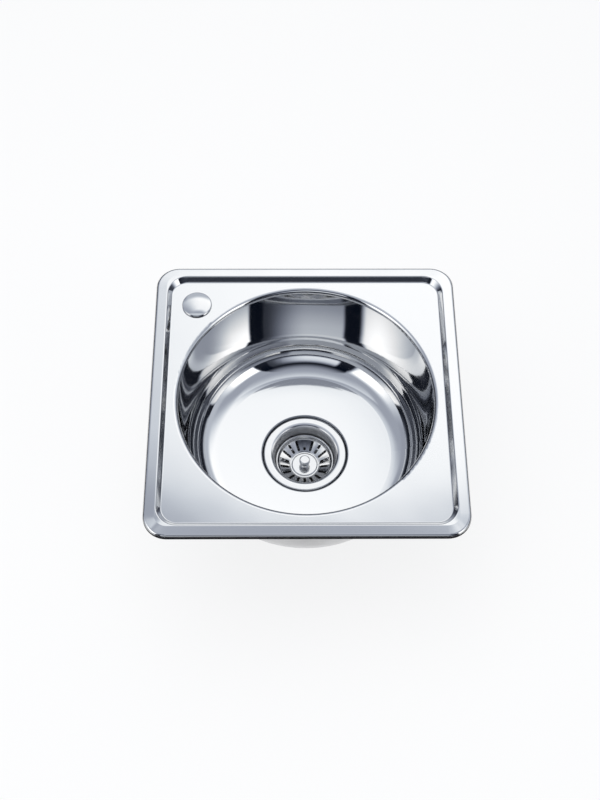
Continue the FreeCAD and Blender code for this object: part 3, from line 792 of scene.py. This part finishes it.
@dataclass
class SubAssembly:
    """A group of CAD pieces with their finishes, some of which get a thread."""

    title: str
    wear: dict[str, Finishes] = field(default_factory=dict)
    threads: dict[str, Thread] = field(default_factory=dict)
    sharp: float = 30.0

    def threaded(self, node: str) -> bpy.types.Object:
        """Make a piece that stands for a CAD piece and has its thread.

        Args:
            node: name of the CAD piece.

        Returns:
            The new piece, which rides on the same body.
        """
        shape = bmesh.new()
        shape.from_mesh(frame["nodes"][node].data)
        self.threads[node].cut(shape)
        for face in shape.faces:
            face.smooth = True
        mesh = bpy.data.meshes.new(f"{node}_threaded")
        shape.to_mesh(mesh)
        shape.free()
        stale = mesh.attributes.get("custom_normal")
        if stale:
            mesh.attributes.remove(stale)
        mesh.set_sharp_from_angle(angle=radians(self.sharp))
        piece = bpy.data.objects.new(mesh.name, mesh)
        bpy.context.scene.collection.objects.link(piece)
        bodies = frame["record"]["behaviour"]["bodies"]
        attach(piece, next(body for body, nodes in bodies.items() if node in nodes))
        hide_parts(node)
        return piece

    def dress(self) -> None:
        """Cut the threads and give each piece its finish."""
        for node, choice in self.wear.items():
            piece = self.threaded(node) if node in self.threads else frame["nodes"][node]
            piece.data.materials.clear()
            piece.data.materials.append(choice.value.material())
            log.info("%s: %s is %s", self.title, piece.name, choice.value.name)


@dataclass
class Pressing(SubAssembly):
    """The sink's pressing with its gasket and pad."""

    title: str = "pressing"
    wear: dict[str, Finishes] = field(
        default_factory=lambda: {
            "sink_shell": Finishes.PRESSING,
            "rim_gasket": Finishes.FOAM,
            "sound_pad": Finishes.PAD,
        }
    )


@dataclass
class Waste(SubAssembly):
    """The strainer cup and what clamps it in the drain."""

    title: str = "waste"
    wear: dict[str, Finishes] = field(
        default_factory=lambda: {
            "strainer_cup": Finishes.WASTE,
            "flange_gasket": Finishes.RUBBER,
            "lower_gasket": Finishes.RUBBER,
            "waste_body": Finishes.PLASTIC,
            "insert_nut": Finishes.BRASS,
            "centre_screw": Finishes.WASTE,
            "screw_seal": Finishes.RUBBER,
        }
    )
    threads: dict[str, Thread] = field(
        default_factory=lambda: {
            "waste_body": Thread(
                axis=(0.0, 0.0), crest=23.9, low=-252.8, high=-231.4, pitch=2.309, depth=1.3
            )
        }
    )


@dataclass
class Basket(SubAssembly):
    """The lift-out strainer basket."""

    title: str = "basket"
    wear: dict[str, Finishes] = field(
        default_factory=lambda: {
            "basket_dish": Finishes.BASKET,
            "basket_knob": Finishes.BASKET,
            "basket_stem": Finishes.BASKET,
            "stem_ring": Finishes.RUBBER,
            "basket_stopper": Finishes.RUBBER,
            "stopper_washer": Finishes.BASKET,
            "stem_nut": Finishes.BASKET,
        }
    )


@dataclass
class TapCap(SubAssembly):
    """The cap of the tap hole."""

    title: str = "tap cap"
    wear: dict[str, Finishes] = field(
        default_factory=lambda: {
            "tap_cap_dome": Finishes.CAP,
            "tap_cap_seal": Finishes.RUBBER,
            "tap_cap_plug": Finishes.PLASTIC,
        }
    )


@dataclass
class Clips(SubAssembly):
    """The four clamp clips with their threaded screws."""

    title: str = "clips"
    inset: float = 33.0
    along: float = 97.046
    half: float = 200.0
    screw: Thread = Thread(
        axis=(0.0, 0.0), crest=2.5, low=-53.2, high=-19.0, pitch=0.8, depth=0.45
    )

    def dress(self) -> None:
        """Give every piece its zinc, and each screw a thread about its own axis."""
        out, along = self.half - self.inset, self.along
        axes = [(out, along), (-along, out), (-out, -along), (along, -out)]
        self.wear = {"clip_lugs": Finishes.ZINC, "clip_nuts": Finishes.ZINC}
        for k, axis in enumerate(axes, start=1):
            self.threads[f"clip_screw_{k}"] = replace(self.screw, axis=axis)
            self.wear[f"clip_screw_{k}"] = self.wear[f"clip_claw_{k}"] = Finishes.ZINC
        super().dress()


@dataclass(frozen=True)
class Panel:
    """A light panel or dark flag of the studio, by its directions from the sink in degrees.

    Azimuth 0 is in front of the sink and 90 is to its right.
    """

    centre: float
    half_width: float
    rise: Pair
    levels: Pair
    soft_sides: Pair
    soft_ends: Pair

    def hang(self, level: Value, x: Value, y: Value, elevation: Value) -> Value:
        """Add the panel to the room.

        Args:
            level: brightness of the room before it.
            x: sideways part of the direction.
            y: backward part of the direction.
            elevation: elevation of the direction in degrees.

        Returns:
            Brightness of the room with the panel.
        """
        turn = radians(self.centre)
        side = x * cos(turn) + y * sin(turn)
        ahead = x * sin(turn) - y * cos(turn)
        azimuth = side.angle_over(ahead) * DEGREES
        across = azimuth.window(-self.half_width, self.half_width, *self.soft_sides)
        mask = across * elevation.window(*self.rise, *self.soft_ends)
        shade = elevation.step(*self.rise, *self.levels)
        return level + (shade - level) * mask


@dataclass
class Studio:
    """Pale floor, dark cards, one lamp, and a room of panels that the steel mirrors."""

    gap: float = 0.0005
    floor_half: float = 6.0
    floor_colour: Colour = (0.86, 0.86, 0.86)
    glow: float = 0.82
    card_frames: tuple[Pair, ...] = ((0.25, 0.5), (0.95, 3.0))
    lamp_power: float = 26.0
    lamp_size: Pair = (1.8, 1.6)
    lamp_place: tuple[float, float, float] = (-0.3, -0.2, 1.9)
    lamp_aim: tuple[float, float, float] = (0.0, 0.0, -0.1)
    brightest: float = 2.1
    left_wall: tuple[float, ...] = (12.0, 27.0, 0.03, 0.43)
    right_wall: tuple[float, ...] = (9.4, 20.0, 0.06, 0.65)
    wall_turn: Pair = (-0.39, -0.28)
    ceiling: tuple[float, float, float] = (36.0, 46.0, 0.475)
    overhead: Pair = (64.0, 70.0)
    overhead_back: Pair = (0.165, 0.23)
    overhead_levels: tuple[float, float, float] = (0.6, 1.2, 2.2)
    panels: tuple[Panel, ...] = (
        # White panel behind the sink
        Panel(162.1, 43.0, (40.5, 71.4), (1.4, 1.25), (27.0, 28.0), (5.0, 5.0)),
        # White panel at the left
        Panel(-62.0, 20.9, (-13.0, 50.2), (0.7, 2.1), (28.0, 21.3), (3.0, 8.4)),
        # White panel at the right
        Panel(58.4, 13.6, (-12.0, 46.7), (0.8, 2.0), (1.6, 14.5), (8.0, 4.5)),
        # Black flag in front
        Panel(-0.4, 45.0, (-22.0, 65.4), (0.04, 0.0), (3.0, 1.0), (2.0, 11.8)),
        # Dark frame of the front panel
        Panel(1.8, 31.6, (24.0, 52.0), (0.06, 0.05), (1.5, 1.5), (3.5, 6.0)),
        # Grey panel in front
        Panel(-7.4, 22.6, (28.5, 47.3), (1.04, 0.77), (1.7, 17.5), (3.5, 7.2)),
    )
    tints: tuple[tuple[float, Colour], ...] = (
        (0.0, (0.0, 0.001, 0.004)),
        (0.113, (0.097, 0.107, 0.135)),
        (0.233, (0.21, 0.227, 0.267)),
        (0.405, (0.374, 0.399, 0.435)),
        (0.572, (0.557, 0.572, 0.588)),
        (0.667, (0.664, 0.667, 0.672)),
        (1.0, (1.0, 1.0, 1.0)),
    )

    def room(self, x: Value, y: Value, z: Value) -> Value:
        """Brightness of the room in a direction.

        Args:
            x: sideways part of the direction.
            y: backward part of the direction.
            z: upward part of the direction.

        Returns:
            The brightness.
        """
        elevation = z.arcsine() * DEGREES
        left = elevation.step(*self.left_wall)
        right = elevation.step(*self.right_wall)
        level = left + (right - left) * x.step(*self.wall_turn)
        low, high, ceiling = self.ceiling
        level = level + (ceiling - level) * elevation.step(low, high)
        middle, slope, bend = self.overhead_levels
        overhead = elevation.step(*self.overhead) * y.step(*self.overhead_back, 1.0, 0.0)
        level = level + ((y * bend + slope) * y + middle - level) * overhead
        for panel in self.panels:
            level = panel.hang(level, x, y, elevation)
        return level

    def world(self) -> None:
        """Light the sink by the room, on a background that the camera sees as white."""
        world = bpy.data.worlds.new("studio")
        bpy.context.scene.world = world
        world.use_nodes = True
        graph = Graph(world.node_tree)
        way = graph.node("ShaderNodeTexCoord")["Generated"]
        split = graph.node("ShaderNodeSeparateXYZ", None, {"Vector": way})
        level = self.room(split["X"], split["Y"], split["Z"]) / self.brightest
        tint = graph.node("ShaderNodeValToRGB", {"stops": self.tints}, {"Fac": level})["Color"]
        lit = {"Color": tint, "Strength": self.brightest}
        room = graph.node("ShaderNodeBackground", None, lit)["Background"]
        plain_white = {"Color": WHITE, "Strength": 1.0}
        white = graph.node("ShaderNodeBackground", None, plain_white)["Background"]
        seen = graph.node("ShaderNodeLightPath")
        share = seen["Is Camera Ray"] | seen["Is Transmission Ray"]
        mixed = graph.node("ShaderNodeMixShader", None, {0: share, 1: room, 2: white})["Shader"]
        graph.node("ShaderNodeOutputWorld", None, {"Surface": mixed})

    @staticmethod
    def lay(name: str, corners: list, faces: list) -> bpy.types.Object:
        """Lay a flat stage piece.

        Args:
            name: name of the piece.
            corners: its corners in metres.
            faces: its faces, by numbers of corners.

        Returns:
            The new piece.
        """
        mesh = bpy.data.meshes.new(name)
        mesh.from_pydata(corners, [], faces)
        piece = bpy.data.objects.new(name, mesh)
        bpy.context.scene.collection.objects.link(piece)
        log.info("%s: %d faces at %.4f m", name, len(faces), corners[0][2])
        return piece

    def cards(self) -> None:
        """Lay frames of dark card round the sink, joined in front, which only its steel sees."""
        low = cad_box[0][2] + self.gap
        sizes = [size for edges in self.card_frames for size in edges]
        corners = [(a * size, b * size, low) for size in sizes for a, b in SQUARE]
        sides = len(SQUARE)
        strips = [
            (first + k, first + (k + 1) % sides)
            for first in range(0, len(corners), 2 * sides)
            for k in range(sides)
        ]
        strips.append((sides, sides + 1))
        faces = [(first, second, second + sides, first + sides) for first, second in strips]
        cards = self.lay("dark_cards", corners, faces)
        cards.data.materials.append(Finishes.CARD.value.material())
        cards.visible_camera = cards.visible_diffuse = False
        cards.visible_shadow = cards.visible_transmission = False
        cards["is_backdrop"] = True

    def floor(self) -> None:
        """Lay a pale floor under the lowest point of the sink, clear when seen from below."""
        low = cad_box[0][2] - self.gap
        half = self.floor_half
        floor = self.lay("floor", [(a * half, b * half, low) for a, b in SQUARE], [(0, 1, 2, 3)])
        material = bpy.data.materials.new("pale_floor")
        material.use_nodes = True
        graph = Graph(material.node_tree)
        pale = {"Color": (*self.floor_colour, 1.0)}
        matt = graph.node("ShaderNodeBsdfDiffuse", None, pale)["BSDF"]
        plain_white = {"Color": WHITE, "Strength": 1.0}
        white = graph.node("ShaderNodeEmission", None, plain_white)["Emission"]
        seen = graph.node("ShaderNodeLightPath")
        direct = seen["Is Camera Ray"] | seen["Is Glossy Ray"] | seen["Is Transmission Ray"]
        lit = {0: direct * self.glow, 1: matt, 2: white}
        top = graph.node("ShaderNodeMixShader", None, lit)["Shader"]
        clear = graph.node("ShaderNodeBsdfTransparent")["BSDF"]
        below = graph.node("ShaderNodeNewGeometry")["Backfacing"]
        mixed = graph.node("ShaderNodeMixShader", None, {0: below, 1: top, 2: clear})["Shader"]
        graph.node("ShaderNodeOutputMaterial", None, {"Surface": mixed})
        floor.data.materials.append(material)
        floor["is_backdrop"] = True

    def lamp(self) -> None:
        """Hang one large soft lamp over the sink."""
        data = bpy.data.lights.new("top_lamp", "AREA")
        data.shape = "RECTANGLE"
        data.size, data.size_y = self.lamp_size
        data.energy = self.lamp_power
        lamp = bpy.data.objects.new("top_lamp", data)
        lamp.location = self.lamp_place
        aim = Vector(self.lamp_aim) - Vector(self.lamp_place)
        lamp.rotation_euler = aim.to_track_quat("-Z", "Y").to_euler()
        lamp.visible_glossy = False
        bpy.context.scene.collection.objects.link(lamp)


@dataclass
class PhotoCamera:
    """The camera of the photograph, in a frame of 600 by 800."""

    place: tuple[float, float, float] = (-0.02214, -0.83609, 1.40637)
    pitch: float = 59.42
    yaw: float = 0.989
    roll: float = -0.768
    focal: float = 1272.7
    frame_height: float = 800.0
    sensor: float = 36.0
    clip: Pair = (0.05, 50.0)

    def stand(self) -> None:
        """Make the camera and look through it."""
        pitch, yaw, roll = radians(self.pitch), radians(self.yaw), radians(self.roll)
        ahead = Vector((sin(yaw) * cos(pitch), cos(yaw) * cos(pitch), -sin(pitch)))
        right = Vector((cos(yaw), -sin(yaw), 0.0))
        down = ahead.cross(right)
        level, drop = right, down
        right = level * cos(roll) + drop * sin(roll)
        down = drop * cos(roll) - level * sin(roll)
        data = bpy.data.cameras.new("photo_camera")
        data.sensor_width = self.sensor
        data.lens = self.focal / self.frame_height * self.sensor
        data.clip_start, data.clip_end = self.clip
        camera = bpy.data.objects.new("photo_camera", data)
        turn = Matrix((right, -down, -ahead)).transposed().to_4x4()
        camera.matrix_world = Matrix.Translation(self.place) @ turn
        bpy.context.scene.collection.objects.link(camera)
        bpy.context.scene.camera = camera


def plain(box: Iterable[Iterable[float]]) -> list[list[float]]:
    """A box as plain lists of numbers."""
    return [[float(number) for number in corner] for corner in box]


def write_sizes() -> None:
    """Measure the CAD box and the dressed model's box, which are then dropped."""
    {"cad": plain(cad_box), "visual": plain(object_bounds())}


def main() -> None:
    """Dress the sink and set up its studio."""
    logging.basicConfig(level=logging.INFO, format="%(name)s: %(message)s")
    bpy.context.scene.view_settings.view_transform = "Standard"
    for group in (Pressing(), Waste(), Basket(), TapCap(), Clips()):
        group.dress()
    studio = Studio()
    studio.world()
    studio.floor()
    studio.cards()
    studio.lamp()
    PhotoCamera().stand()
    write_sizes()


if __name__ == "__main__":
    main()
